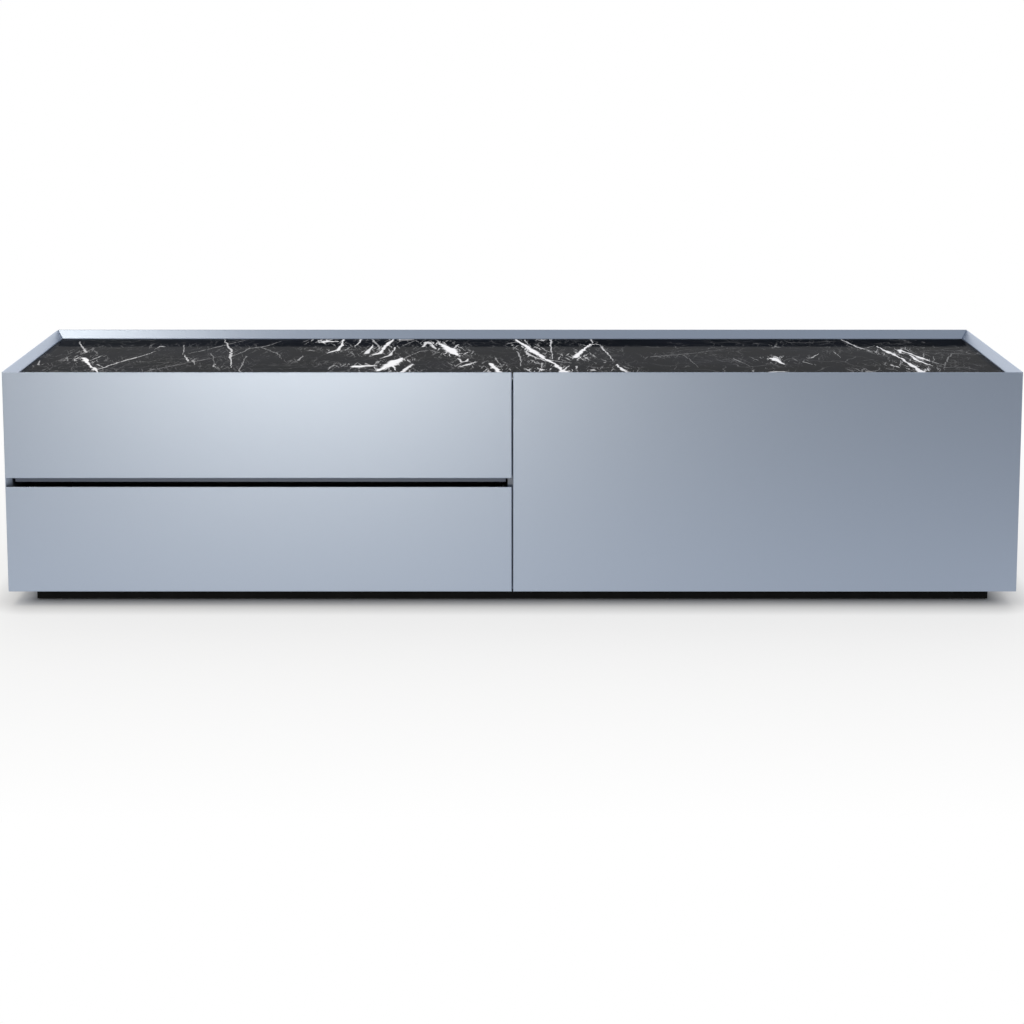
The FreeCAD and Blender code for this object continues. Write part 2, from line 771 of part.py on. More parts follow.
# Push latch under the top panel, with its strike plate on the flap.
latch_front = "board_front + latch_setback"
latch_case = block(
    "flap_middle - latch_half",
    "flap_middle + latch_half",
    latch_front,
    f"{latch_front} + latch_length",
    "deck_low - latch_height",
    "deck_low",
)
latch_bore = rod("y", "plunger_radius + plunger_play", "plunger_depth", "flap_middle", latch_front, "plunger_z")
keep(drilled(latch_case, [latch_bore]), "latch_body")
plunger_tip = "strike_thickness + plunger_gap - inside_y"
keep(rod("y", "plunger_radius", "plunger_length", "flap_middle", plunger_tip, "plunger_z"), "latch_plunger")
keep(
    block(
        "flap_middle - strike_half",
        "flap_middle + strike_half",
        "-inside_y",
        "strike_thickness - inside_y",
        "plunger_z - strike_height",
        "plunger_z + strike_height",
    ),
    "latch_strike",
)

document.recompute()
faults = []
for item in document.Objects:
    if "Invalid" in item.State or "Error" in item.State:
        faults.append(f"{item.Name} {item.Label} {item.State}")
for item in pieces:
    if item.Shape.isNull() or not item.Shape.isValid() or not item.Shape.Solids:
        faults.append(f"{item.Label} has no valid solid")
if faults:
    raise RuntimeError("; ".join(faults))

os.makedirs("parts", exist_ok=True)
for item in pieces:
    item.Shape.exportStep(f"parts/{item.Label}.step")
print(len(pieces), "pieces written")
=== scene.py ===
"""The lowboard's materials, light and camera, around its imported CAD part. Lengths are in metres."""

import math

import bpy
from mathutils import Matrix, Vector

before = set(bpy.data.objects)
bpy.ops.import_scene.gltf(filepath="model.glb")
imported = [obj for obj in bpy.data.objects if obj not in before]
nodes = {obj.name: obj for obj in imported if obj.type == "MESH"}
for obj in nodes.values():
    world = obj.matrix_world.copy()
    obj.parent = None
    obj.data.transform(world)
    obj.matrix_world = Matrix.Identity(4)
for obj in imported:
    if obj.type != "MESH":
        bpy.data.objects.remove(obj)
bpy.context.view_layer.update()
scene = bpy.context.scene
scene.view_settings.view_transform = "Standard"

MM = 0.001
WHITE = (1.0, 1.0, 1.0, 1.0)


def tone(red, green, blue):
    """A colour given as it shows on a screen, 0 to 255, as the linear colour that a shader takes."""

    def linear(level):
        share = level / 255
        return share / 12.92 if share <= 0.04045 else ((share + 0.055) / 1.055) ** 2.4

    return (linear(red), linear(green), linear(blue), 1.0)


def scaled(colour, share, lift=0.0):
    """A colour made darker or lighter by a share, and lifted by an even amount."""
    return tuple(share * part + lift for part in colour[:3]) + (1.0,)


class NodeTree:
    """A tree of nodes, with short ways to add nodes and join them."""

    def __init__(self, tree):
        self.tree = tree

    def give(self, socket, value):
        """Join a socket to another one, or set its value."""
        if isinstance(value, bpy.types.NodeSocket):
            self.tree.links.new(value, socket)
        else:
            socket.default_value = value

    def add(self, kind, settings=None, **inputs):
        """A new node. The names of its inputs are given with _ for each space."""
        node = self.tree.nodes.new(kind)
        for name, value in (settings or {}).items():
            setattr(node, name, value)
        for name, value in inputs.items():
            self.give(node.inputs[name.replace("_", " ")], value)
        return node

    def fill(self, node, values):
        """Give a node's inputs their values in the order that the node has them."""
        for socket, value in zip(node.inputs, values):
            self.give(socket, value)

    def compute(self, operation, *values, clamp=False):
        node = self.add("ShaderNodeMath", {"operation": operation, "use_clamp": clamp})
        self.fill(node, values)
        return node.outputs["Value"]

    def vector(self, operation, *values, result="Vector"):
        node = self.add("ShaderNodeVectorMath", {"operation": operation})
        self.fill(node, values)
        return node.outputs[result]

    def span(self, value, low, high, start=0.0, end=1.0, smooth=False):
        """A value taken from low..high to start..end, and held there outside it."""
        node = self.add(
            "ShaderNodeMapRange",
            {"interpolation_type": "SMOOTHSTEP" if smooth else "LINEAR"},
            Value=value,
            From_Min=low,
            From_Max=high,
            To_Min=start,
            To_Max=end,
        )
        return node.outputs["Result"]

    def blend(self, share, first, second):
        """A colour between two others."""
        node = self.add("ShaderNodeMix", {"data_type": "RGBA"}, Factor=share)
        first_in, second_in = [socket for socket in node.inputs if socket.type == "RGBA"]
        self.give(first_in, first)
        self.give(second_in, second)
        return next(socket for socket in node.outputs if socket.type == "RGBA")

    def mix_shaders(self, share, first, second):
        node = self.add("ShaderNodeMixShader")
        self.fill(node, (share, first, second))
        return node.outputs["Shader"]


class Paint(NodeTree):
    """A material with its node tree, its shader and the place of each point on the piece."""

    def __init__(self, name):
        self.material = bpy.data.materials.new(name)
        self.material.use_nodes = True
        super().__init__(self.material.node_tree)
        self.shader = self.tree.nodes["Principled BSDF"]
        self.place = self.add("ShaderNodeTexCoord").outputs["Object"]

    def set(self, **inputs):
        """Give the shader's inputs their values."""
        for name, value in inputs.items():
            self.give(self.shader.inputs[name.replace("_", " ")], value)

    def stretched(self, x, y, z):
        node = self.add("ShaderNodeMapping", Vector=self.place, Scale=(x, y, z))
        return node.outputs["Vector"]

    def noise(self, scale=1.0, detail=2.0, roughness=0.5, place=None):
        node = self.add(
            "ShaderNodeTexNoise",
            Vector=place or self.place,
            Scale=scale,
            Detail=detail,
            Roughness=roughness,
        )
        return node.outputs["Fac"]

    def bump(self, height, depth, strength):
        node = self.add("ShaderNodeBump", Height=height, Strength=strength, Distance=depth)
        return node.outputs["Normal"]


# Most of a noise texture's values, and of a product of two, lie between these.
NOISE = (0.3, 0.7)
NOISE_PRODUCT = (0.15, 0.36)


def lacquer(name, base, metal, roughness):
    """Sprayed satin lacquer: fine flake, a slow drift of tone and a trace of orange peel."""
    paint = Paint(name)
    flake = paint.noise(scale=2600.0, detail=1.0)
    cloud = paint.noise(scale=2.0)
    peel = paint.noise(scale=420.0)
    haze = paint.noise(scale=1500.0)
    fleck = paint.blend(paint.span(flake, *NOISE), scaled(base, 0.92), scaled(base, 1.08))
    paint.set(
        Base_Color=paint.blend(paint.span(cloud, *NOISE, end=0.4), fleck, base),
        Metallic=metal,
        Roughness=paint.span(haze, *NOISE, *roughness),
        Normal=paint.bump(peel, depth=0.02 * MM, strength=0.25),
        Coat_Weight=1.0,
        Coat_Roughness=0.38,
    )
    return paint.material


def moulded(name, base, roughness, grain_scale=1800.0, shine=0.5):
    """Moulded plastic or rubber with a fine spark-eroded grain."""
    paint = Paint(name)
    grain = paint.noise(scale=grain_scale, roughness=0.6)
    cloud = paint.noise(scale=30.0, detail=3.0)
    light = scaled(base, 1.25, lift=0.004)
    paint.set(
        Base_Color=paint.blend(paint.span(cloud, *NOISE), base, light),
        Roughness=paint.span(grain, *NOISE, start=roughness - 0.06, end=roughness + 0.08),
        Normal=paint.bump(grain, depth=0.05 * MM, strength=0.5),
        Specular_IOR_Level=shine,
    )
    return paint.material


def steel(name, base, roughness, drawn):
    """Plated steel: faint spangle and drawing marks along the piece's length."""
    paint = Paint(name)
    spangle = paint.add("ShaderNodeTexVoronoi", Vector=paint.place, Scale=160.0)
    marks = paint.noise(detail=3.0, roughness=0.6, place=paint.stretched(*drawn))
    shine = paint.span(spangle.outputs["Color"], low=0.2, high=0.8)
    paint.set(
        Base_Color=paint.blend(shine, scaled(base, 0.8), base),
        Metallic=1.0,
        Roughness=paint.span(marks, *NOISE, start=roughness - 0.07, end=roughness + 0.1),
        Normal=paint.bump(marks, depth=0.03 * MM, strength=0.5),
    )
    return paint.material


def linen(name, base):
    """Drawer-box foil with a woven print: two crossed threads with uneven thickness."""
    paint = Paint(name)
    across = paint.noise(roughness=0.6, place=paint.stretched(1500.0, 160.0, 160.0))
    along = paint.noise(roughness=0.6, place=paint.stretched(160.0, 1500.0, 1500.0))
    thread = paint.compute("MULTIPLY", across, along)
    raised = paint.span(thread, *NOISE_PRODUCT)
    paint.set(
        Base_Color=paint.blend(raised, scaled(base, 0.7), scaled(base, 1.3)),
        Roughness=paint.span(thread, *NOISE_PRODUCT, start=0.62, end=0.5),
        Normal=paint.bump(thread, depth=0.08 * MM, strength=0.4),
    )
    return paint.material


def beech(name):
    """Turned beech: pale grain along the dowel with short dark flecks."""
    paint = Paint(name)
    grain = paint.noise(detail=4.0, roughness=0.6, place=paint.stretched(30.0, 600.0, 600.0))
    flecks = paint.noise(place=paint.stretched(180.0, 1500.0, 1500.0))
    wood = paint.blend(paint.span(grain, *NOISE), tone(196, 158, 118), tone(222, 190, 152))
    flecked = paint.span(flecks, low=0.6, high=0.72, end=0.6)
    paint.set(
        Base_Color=paint.blend(flecked, wood, tone(150, 108, 72)),
        Roughness=0.62,
        Normal=paint.bump(grain, depth=0.1 * MM, strength=0.5),
    )
    return paint.material


# A vein is white over the core of its width and fades to its flanks. It ends thinner, and begins
# thinner where it has a bend. Where it crosses, it moves what is drawn after it by the fault.
VEIN_CORE = 0.4
VEIN_FIRST_SHARE = 0.5
VEIN_LAST_SHARE = 0.25
VEIN_FAULT = (1.5 * MM, -1.0 * MM, 0.0)
VEIN_CONTRAST = 1.6
# Splinters lie within reach of a vein, densest beside one of this width or more. They lean by degrees.
SHARD_REACH = 60.0 * MM
SHARD_WIDTH = 14.0 * MM
SHARD_SIZE = (90.0 * MM, 7.0 * MM, 30.0 * MM)
SHARD_LEANS = (78.0, -75.0)
# The slab mirrors the studio only faintly.
MARBLE_IOR = 1.022


def vein_stroke():
    """A node group for one stroke of a vein. It adds the stroke to the veins found before it, says
    how near a wide vein is, and shifts the place a little, so that later veins break as they cross."""
    group = bpy.data.node_groups.new("vein_stroke", "ShaderNodeTree")
    for way, kind, names in (
        ("INPUT", "NodeSocketVector", ("Place", "Start", "Reach")),
        ("INPUT", "NodeSocketFloat", ("First Width", "Last Width", "Swell", "Level", "Veins", "Near")),
        ("OUTPUT", "NodeSocketVector", ("Place",)),
        ("OUTPUT", "NodeSocketFloat", ("Veins", "Near")),
    ):
        for name in names:
            group.interface.new_socket(name, in_out=way, socket_type=kind)
    tree = NodeTree(group)
    given = tree.add("NodeGroupInput").outputs
    result = tree.add("NodeGroupOutput").inputs
    reach = given["Reach"]
    offset = tree.vector("SUBTRACT", given["Place"], given["Start"])
    ahead = tree.vector("DOT_PRODUCT", offset, reach, result="Value")
    whole = tree.vector("DOT_PRODUCT", reach, reach, result="Value")
    along = tree.compute("DIVIDE", ahead, whole, clamp=True)
    nearest = tree.add("ShaderNodeVectorMath", {"operation": "SCALE"}, Vector=reach, Scale=along)
    gap = tree.vector("SUBTRACT", offset, nearest.outputs["Vector"])
    away = tree.vector("LENGTH", gap, result="Value")
    width = tree.span(along, 0.0, 1.0, given["First Width"], given["Last Width"])
    thick = tree.compute("MULTIPLY", width, given["Swell"])
    core = tree.compute("MULTIPLY", thick, VEIN_CORE)
    flank = tree.span(away, thick, core, smooth=True)
    shown = tree.compute("MULTIPLY", flank, given["Level"])
    scatter = tree.span(away, SHARD_REACH, 0.0, smooth=True)
    wide = tree.compute("DIVIDE", width, SHARD_WIDTH, clamp=True)
    shards = tree.compute("MULTIPLY", scatter, tree.compute("MULTIPLY", wide, wide))
    tree.give(result["Place"], tree.vector("MULTIPLY_ADD", shown, VEIN_FAULT, given["Place"]))
    tree.give(result["Veins"], tree.compute("MAXIMUM", given["Veins"], shown))
    tree.give(result["Near"], tree.compute("MAXIMUM", given["Near"], shards))
    return group


# Each vein: its width in millimetres, its brightness, and its points on the slab, x and y in metres.
VEINS = [
    (6, 0.55, (-0.968, -0.07), (-0.978, -0.02)),
    (4, 0.35, (-0.937, -0.025), (-0.911, 0.007)),
    (7, 0.70, (-0.902, 0.075), (-0.944, 0.20)),
    (17, 1.00, (-0.893, 0.01), (-0.86, -0.07)),
    (7, 0.95, (-0.868, -0.05), (-0.845, -0.115), (-0.81, -0.21)),
    (4, 0.60, (-0.847, -0.057), (-0.832, -0.096)),
    (5, 0.75, (-0.845, -0.14), (-0.807, -0.035), (-0.755, 0.085)),
    (9, 0.85, (-0.757, 0.14), (-0.742, 0.14)),
    (5, 0.38, (-0.73, -0.13), (-0.61, 0.03)),
    (4, 0.55, (-0.709, 0.16), (-0.69, 0.045)),
    (6, 0.75, (-0.671, -0.025), (-0.686, 0.045)),
    (7, 0.50, (-0.663, -0.02), (-0.65, -0.068)),
    (5, 0.50, (-0.637, -0.085), (-0.635, -0.09)),
    (4, 0.42, (-0.68, 0.06), (-0.62, 0.16), (-0.58, 0.23)),
    (3, 0.35, (-0.636, 0.06), (-0.612, -0.05)),
    (6, 0.60, (-0.606, -0.095), (-0.61, -0.055)),
    (5, 0.75, (-0.63, 0.23), (-0.60, 0.10), (-0.59, 0.03), (-0.57, -0.10)),
    (4, 0.40, (-0.588, 0.03), (-0.56, 0.12), (-0.525, 0.15), (-0.504, 0.213)),
    (4, 0.45, (-0.558, 0.035), (-0.55, -0.135), (-0.52, -0.23)),
    (4, 0.45, (-0.539, 0.135), (-0.50, 0.07), (-0.478, 0.00)),
    (6, 0.50, (-0.442, -0.02), (-0.44, 0.03)),
    (5, 0.50, (-0.433, 0.10), (-0.42, 0.085)),
    (6, 0.60, (-0.437, 0.235), (-0.44, 0.21)),
    (29, 1.00, (-0.41, 0.205), (-0.38, 0.21)),
    (10, 0.95, (-0.37, 0.235), (-0.37, 0.10), (-0.39, 0.06)),
    (5, 0.55, (-0.37, 0.10), (-0.33, 0.10)),
    (6, 0.55, (-0.364, -0.07), (-0.372, -0.12)),
    (7, 0.85, (-0.33, 0.235), (-0.34, 0.14)),
    (6, 0.60, (-0.307, 0.235), (-0.281, 0.11)),
    (10, 0.90, (-0.305, 0.06), (-0.302, 0.16)),
    (10, 0.95, (-0.26, 0.235), (-0.271, 0.147), (-0.28, 0.063), (-0.292, 0.04)),
    (7, 0.85, (-0.25, 0.135), (-0.256, 0.04), (-0.277, 0.005)),
    (31, 0.60, (-0.24, 0.235), (-0.22, 0.23)),
    (4, 0.40, (-0.232, 0.16), (-0.21, 0.225)),
    (20, 1.00, (-0.32, -0.085), (-0.28, -0.08)),
    (26, 1.00, (-0.27, -0.13), (-0.24, -0.03), (-0.23, 0.01)),
    (9, 0.95, (-0.25, -0.05), (-0.236, -0.125)),
    (4, 0.60, (-0.224, 0.01), (-0.195, 0.085), (-0.163, 0.10)),
    (10, 0.95, (-0.203, -0.06), (-0.22, -0.14), (-0.25, -0.22)),
    (10, 0.85, (-0.193, 0.14), (-0.184, 0.195), (-0.175, 0.175), (-0.165, 0.11)),
    (27, 1.00, (-0.155, 0.18), (-0.13, 0.09), (-0.11, 0.03)),
    (6, 0.75, (-0.117, 0.17), (-0.131, 0.09)),
    (6, 0.75, (-0.116, 0.05), (-0.089, 0.08)),
    (7, 0.85, (-0.112, 0.005), (-0.104, -0.04), (-0.094, -0.03), (-0.093, -0.003)),
    (10, 0.90, (-0.104, -0.095), (-0.09, -0.07), (-0.077, -0.035)),
    (16, 1.00, (-0.045, -0.06), (-0.03, -0.14), (0.00, -0.22)),
    (4, 0.45, (-0.036, 0.01), (-0.024, -0.085)),
    (4, 0.55, (0.01, 0.087), (0.0185, -0.02), (0.016, -0.085)),
    (5, 0.60, (0.015, 0.21), (0.004, 0.20), (-0.013, 0.175)),
    (7, 0.70, (0.00, 0.16), (0.002, 0.155)),
    (12, 1.00, (0.007, 0.235), (0.03, 0.147), (0.0445, 0.087), (0.068, -0.017), (0.085, -0.055)),
    (20, 1.00, (0.104, -0.15), (0.086, -0.05)),
    (8, 0.90, (0.104, -0.13), (0.115, -0.085)),
    (12, 0.90, (0.105, -0.14), (0.15, -0.23)),
    (4, 0.60, (0.028, 0.235), (0.039, 0.14)),
    (5, 0.75, (0.032, 0.147), (0.031, 0.05), (0.053, -0.005), (0.066, -0.017)),
    (4, 0.60, (0.039, -0.017), (0.047, -0.046), (0.06, -0.065)),
    (4, 0.60, (0.06, -0.05), (0.06, -0.12)),
    (14, 0.90, (0.06, -0.125), (0.065, -0.125)),
    (6, 0.55, (0.047, 0.135), (0.05, 0.13)),
    (13, 0.70, (0.065, 0.23), (0.067, 0.22)),
    (5, 0.75, (0.085, 0.235), (0.081, -0.01)),
    (5, 0.75, (0.07, -0.02), (0.12, -0.05)),
    (17, 1.00, (0.13, 0.01), (0.157, 0.135)),
    (9, 0.95, (0.152, 0.115), (0.168, 0.175), (0.188, 0.165)),
    (5, 0.75, (0.171, 0.235), (0.173, 0.185)),
    (5, 0.75, (0.188, 0.155), (0.198, 0.075), (0.209, -0.03)),
    (11, 0.95, (0.223, -0.135), (0.214, -0.07)),
    (8, 0.80, (0.223, -0.135), (0.25, -0.22)),
    (8, 0.60, (0.189, -0.045), (0.192, -0.048)),
    (6, 0.70, (0.128, -0.085), (0.129, -0.12)),
    (10, 0.80, (0.162, -0.13), (0.168, -0.135)),
    (5, 0.32, (0.29, 0.02), (0.45, 0.10)),
    (4, 0.28, (0.36, 0.04), (0.38, -0.10)),
    (4, 0.40, (0.46, 0.00), (0.49, -0.10)),
    (7, 0.60, (0.565, 0.14), (0.575, 0.13)),
    (16, 1.00, (0.543, 0.00), (0.557, -0.065)),
    (16, 0.75, (0.52, -0.15), (0.55, -0.15)),
    (5, 0.65, (0.60, -0.03), (0.62, -0.07)),
    (5, 0.65, (0.62, 0.01), (0.645, 0.055)),
    (4, 0.35, (0.60, 0.19), (0.706, 0.205)),
    (4, 0.50, (0.68, 0.08), (0.685, 0.01)),
    (5, 0.70, (0.72, 0.24), (0.736, 0.147), (0.765, 0.075)),
    (4, 0.50, (0.743, 0.115), (0.78, 0.15)),
    (8, 0.50, (0.712, -0.14), (0.736, -0.135)),
    (9, 0.80, (0.775, -0.07), (0.785, -0.10)),
    (5, 0.50, (0.757, -0.11), (0.772, -0.12)),
    (10, 1.00, (0.812, -0.02), (0.795, 0.08), (0.784, 0.145)),
    (17, 1.00, (0.824, -0.17), (0.806, 0.02)),
    (10, 0.90, (0.824, -0.16), (0.84, -0.235)),
    (11, 0.95, (0.824, 0.10), (0.817, 0.065)),
    (10, 1.00, (0.826, 0.10), (0.849, 0.01), (0.862, -0.025)),
    (6, 0.80, (0.817, 0.065), (0.836, 0.045)),
    (10, 1.00, (0.834, 0.04), (0.836, -0.01), (0.856, -0.085)),
    (4, 0.50, (0.867, -0.03), (0.885, -0.085)),
    (4, 0.38, (0.925, 0.055), (0.905, 0.00), (0.87, -0.125)),
    (4, 0.35, (0.925, 0.06), (0.98, 0.07)),
    (4, 0.30, (0.875, -0.105), (0.92, -0.095), (0.94, -0.13)),
]


def pushed(paint, place, colour, reach):
    """A place moved by a texture's colour, twice as far along the slab's depth as along its width."""
    centred = paint.vector("SUBTRACT", colour, (0.5, 0.5, 0.5))
    return paint.vector("MULTIPLY_ADD", centred, (reach, 2.0 * reach, 0.0), place)


def wavy(paint, place, scale, reach):
    """A place moved smoothly, so that lines through it bend."""
    wander = paint.add("ShaderNodeTexNoise", Vector=paint.place, Scale=scale, Detail=3.0)
    return pushed(paint, place, wander.outputs["Color"], reach)


def broken(paint, place, scale, reach):
    """A place moved piece by piece, so that lines through it break."""
    cells = paint.add("ShaderNodeTexVoronoi", Vector=paint.place, Scale=scale)
    return pushed(paint, place, cells.outputs["Color"], reach)


def own_veins(paint, place):
    """The slab's own veins, stroke by stroke: how white a point is, and how near a wide vein is."""
    stroke = vein_stroke()
    cloud = paint.noise(scale=17.0, detail=3.0, roughness=0.65)
    swell = paint.span(cloud, low=0.34, high=0.66, start=0.3)
    found = {"Place": place, "Veins": 0.0, "Near": 0.0}
    for width, level, *points in VEINS:
        shares = [1.0] * len(points)
        shares[-1] = VEIN_LAST_SHARE
        if len(points) > 2:
            shares[0] = VEIN_FIRST_SHARE
        for step, ((x, y), (next_x, next_y)) in enumerate(zip(points, points[1:])):
            node = paint.add(
                "ShaderNodeGroup",
                {"node_tree": stroke},
                Start=(x, y, 0.0),
                Reach=(next_x - x, next_y - y, 0.0),
                First_Width=shares[step] * width * MM,
                Last_Width=shares[step + 1] * width * MM,
                Swell=swell,
                Level=level,
                **found,
            )
            found = {name: node.outputs[name] for name in found}
    return found["Veins"], found["Near"]


def splinters(paint, place, near, lean):
    """Short white chips beside the wide veins, all leaning one way."""
    turned = paint.add(
        "ShaderNodeMapping",
        {"vector_type": "TEXTURE"},
        Vector=place,
        Rotation=(0.0, 0.0, math.radians(lean)),
        Scale=SHARD_SIZE,
    )
    chips = paint.noise(detail=3.0, roughness=0.7, place=turned.outputs["Vector"])
    return paint.compute("MULTIPLY", paint.span(chips, low=0.59, high=0.63), near)


def hair_veins(paint, place, scale, width, patch_scale, patch_low, level):
    """Hair veins along the borders of cells. They show in patches, up to a level."""
    cells = paint.add(
        "ShaderNodeTexVoronoi",
        {"feature": "DISTANCE_TO_EDGE"},
        Vector=place,
        Scale=scale,
    )
    hair = paint.span(cells.outputs["Distance"], low=width, high=0.0)
    cloud = paint.noise(scale=patch_scale, detail=4.0, roughness=0.65)
    patches = paint.span(cloud, low=patch_low, high=0.68, end=level)
    return paint.compute("MULTIPLY", hair, patches)


def marble(name):
    """Polished black marble: the slab's own white veins, two webs of hair veins and faint clouds."""
    paint = Paint(name)
    bent = wavy(paint, paint.stretched(1.0, 1.0, 0.0), scale=9.0, reach=12.0 * MM)
    shaken = wavy(paint, bent, scale=40.0, reach=4.0 * MM)
    ragged = broken(paint, shaken, scale=55.0, reach=3.0 * MM)
    veins, near = own_veins(paint, ragged)
    white = paint.compute("POWER", veins, VEIN_CONTRAST)
    for lean in SHARD_LEANS:
        white = paint.compute("MAXIMUM", white, splinters(paint, ragged, near, lean))
    swept = wavy(paint, paint.place, scale=7.0, reach=90.0 * MM)
    web = hair_veins(paint, swept, 11.0, width=0.014, patch_scale=8.0, patch_low=0.5, level=0.13)
    drawn = paint.add(
        "ShaderNodeMapping",
        Vector=wavy(paint, swept, scale=30.0, reach=26.0 * MM),
        Rotation=(0.0, 0.0, 0.9),
        Scale=(17.0, 44.0, 30.0),
    ).outputs["Vector"]
    threads = hair_veins(paint, drawn, 1.0, width=0.03, patch_scale=5.0, patch_low=0.48, level=0.2)
    shown = paint.compute("MAXIMUM", white, paint.compute("MAXIMUM", web, threads))
    cloud = paint.noise(scale=6.0, detail=5.0, roughness=0.6)
    body = paint.blend(paint.span(cloud, low=0.38, high=0.72), tone(1, 2, 5), tone(12, 14, 23))
    paint.set(
        Base_Color=paint.blend(shown, body, tone(249, 250, 255)),
        Roughness=paint.span(cloud, low=0.2, high=0.8, start=0.05, end=0.08),
        IOR=MARBLE_IOR,
    )
    return paint.material


FRONT_BASE = (0.342, 0.41, 0.53, 1.0)
# The grip rail's very dark tone is partly painted shade: it stands in for the shade deep in the grip
# groove.
GRIP_SHADED_BASE = (0.041, 0.058, 0.097, 1.0)
INSIDE_BASE = tone(137, 150, 171)
# The finish for each of the record's material slots.
FINISHES = {
    "lacquer": lacquer("satin_lacquer", FRONT_BASE, metal=0.85, roughness=(0.35, 0.39)),
    "inside_lacquer": lacquer("inside_satin", INSIDE_BASE, metal=0.2, roughness=(0.5, 0.6)),
    # The grip rail's finish carries painted shade for the grip groove in its dark base tone.
    "grip_metal": lacquer("grip_lacquer_painted_shade", GRIP_SHADED_BASE, metal=0.85, roughness=(0.4, 0.46)),
    "drawer_box": linen("drawer_foil", tone(96, 99, 104)),
    "runner_steel": steel("runner_zinc", tone(196, 199, 203), 0.34, drawn=(40.0, 6.0, 900.0)),
    "marble": marble("black_marble"),
    "pad_rubber": moulded("clear_silicone", tone(150, 152, 150), 0.45),
    "plinth_black": moulded("plinth_laminate", tone(4, 4, 5), 0.6, grain_scale=900.0, shine=0.08),
    "glide_plastic": moulded("glide_nylon", tone(30, 30, 32), 0.5),
    "screw_steel": steel("screw_zinc", tone(190, 190, 186), 0.3, drawn=(300.0, 300.0, 300.0)),
    "dowel_wood": beech("dowel_beech"),
    "fitting_steel": steel("hinge_nickel", tone(200, 199, 195), 0.28, drawn=(8.0, 700.0, 700.0)),
    "damper_steel": steel("damper_nickel", tone(188, 190, 193), 0.26, drawn=(700.0, 90.0, 90.0)),
    "fitting_plastic": moulded("fitting_polymer", tone(58, 60, 64), 0.42),
    "plunger_plastic": moulded("plunger_polymer", tone(200, 202, 204), 0.4),
}
for piece in nodes.values():
    for holder in piece.material_slots:
        slot = holder.material.name.split(".")[0]
        if slot in FINISHES:
            holder.material = FINISHES[slot]

# How far the edges of each finish are eased, and which edges count as long and as outer ones.
EASED_WIDTHS = {
    "satin_lacquer": 2.0 * MM,
    "inside_satin": 0.6 * MM,
    "grip_lacquer_painted_shade": 0.5 * MM,
    "black_marble": 0.8 * MM,
    "plinth_laminate": 0.6 * MM,
    "drawer_foil": 0.6 * MM,
}
EASED_LENGTH = 20.0 * MM
EASED_ANGLE = math.radians(25.0)
EASED_SEGMENTS = 3
# Points no further apart than this, and faces no further apart in angle, are joined first.
SAME_POINT = 0.01 * MM
SAME_FACE = math.radians(0.5)


def long_edges():
    """A node group that marks a piece's long outer edges for easing, and leaves its holes sharp."""
    group = bpy.data.node_groups.new("long_edges", "GeometryNodeTree")
    for way in ("INPUT", "OUTPUT"):
        group.interface.new_socket("Geometry", in_out=way, socket_type="NodeSocketGeometry")
    tree = NodeTree(group)
    given = tree.add("NodeGroupInput").outputs
    result = tree.add("NodeGroupOutput").inputs
    ends = tree.add("GeometryNodeInputMeshEdgeVertices").outputs
    fold = tree.add("GeometryNodeInputMeshEdgeAngle").outputs
    length = tree.vector("DISTANCE", ends["Position 1"], ends["Position 2"], result="Value")
    long = tree.compute("GREATER_THAN", length, EASED_LENGTH)
    outer = tree.compute("GREATER_THAN", fold["Signed Angle"], EASED_ANGLE)
    mark = tree.add(
        "GeometryNodeStoreNamedAttribute",
        {"data_type": "FLOAT", "domain": "EDGE"},
        Geometry=given["Geometry"],
        Name="bevel_weight_edge",
        Value=tree.compute("MULTIPLY", long, outer),
    )
    tree.give(result["Geometry"], mark.outputs["Geometry"])
    return group


def ease(piece, width, marked_edges):
    """Round a piece's long outer edges, once its triangles are joined into whole faces."""
    weld = piece.modifiers.new("weld", "WELD")
    weld.merge_threshold = SAME_POINT
    whole = piece.modifiers.new("whole_faces", "DECIMATE")
    whole.decimate_type = "DISSOLVE"
    whole.angle_limit = SAME_FACE
    marks = piece.modifiers.new("long_edges", "NODES")
    marks.node_group = marked_edges
    bevel = piece.modifiers.new("eased_edges", "BEVEL")
    bevel.width = width
    bevel.segments = EASED_SEGMENTS
    bevel.limit_method = "WEIGHT"
    bevel.harden_normals = True
    bevel.use_clamp_overlap = False


edge_marker = long_edges()
for piece in nodes.values():
    finish = piece.material_slots[0].material.name
    if finish in EASED_WIDTHS:
        ease(piece, EASED_WIDTHS[finish], edge_marker)

# The camera sees the floor turn white away from the object's foot: each distance from it, and the
# share of white that is added up to there. Gloss sees the floor whiter close by than far away.
FLOOR_HALF = 30.0
FOOT_HALF = (0.95, 0.20, 0.0)
SHADOW_NEAR = (0.11, 0.77)
SHADOW_FAR = (1.1, 0.23)
GLOSS_NEAR = (0.2, 0.73)
GLOSS_FAR = (2.2, 0.0)


def mirrored_rays(tree, path):
    """1 for a ray that a reflection or a clear piece sends out, otherwise 0."""
    return tree.compute("ADD", path["Is Glossy Ray"], path["Is Transmission Ray"], clamp=True)


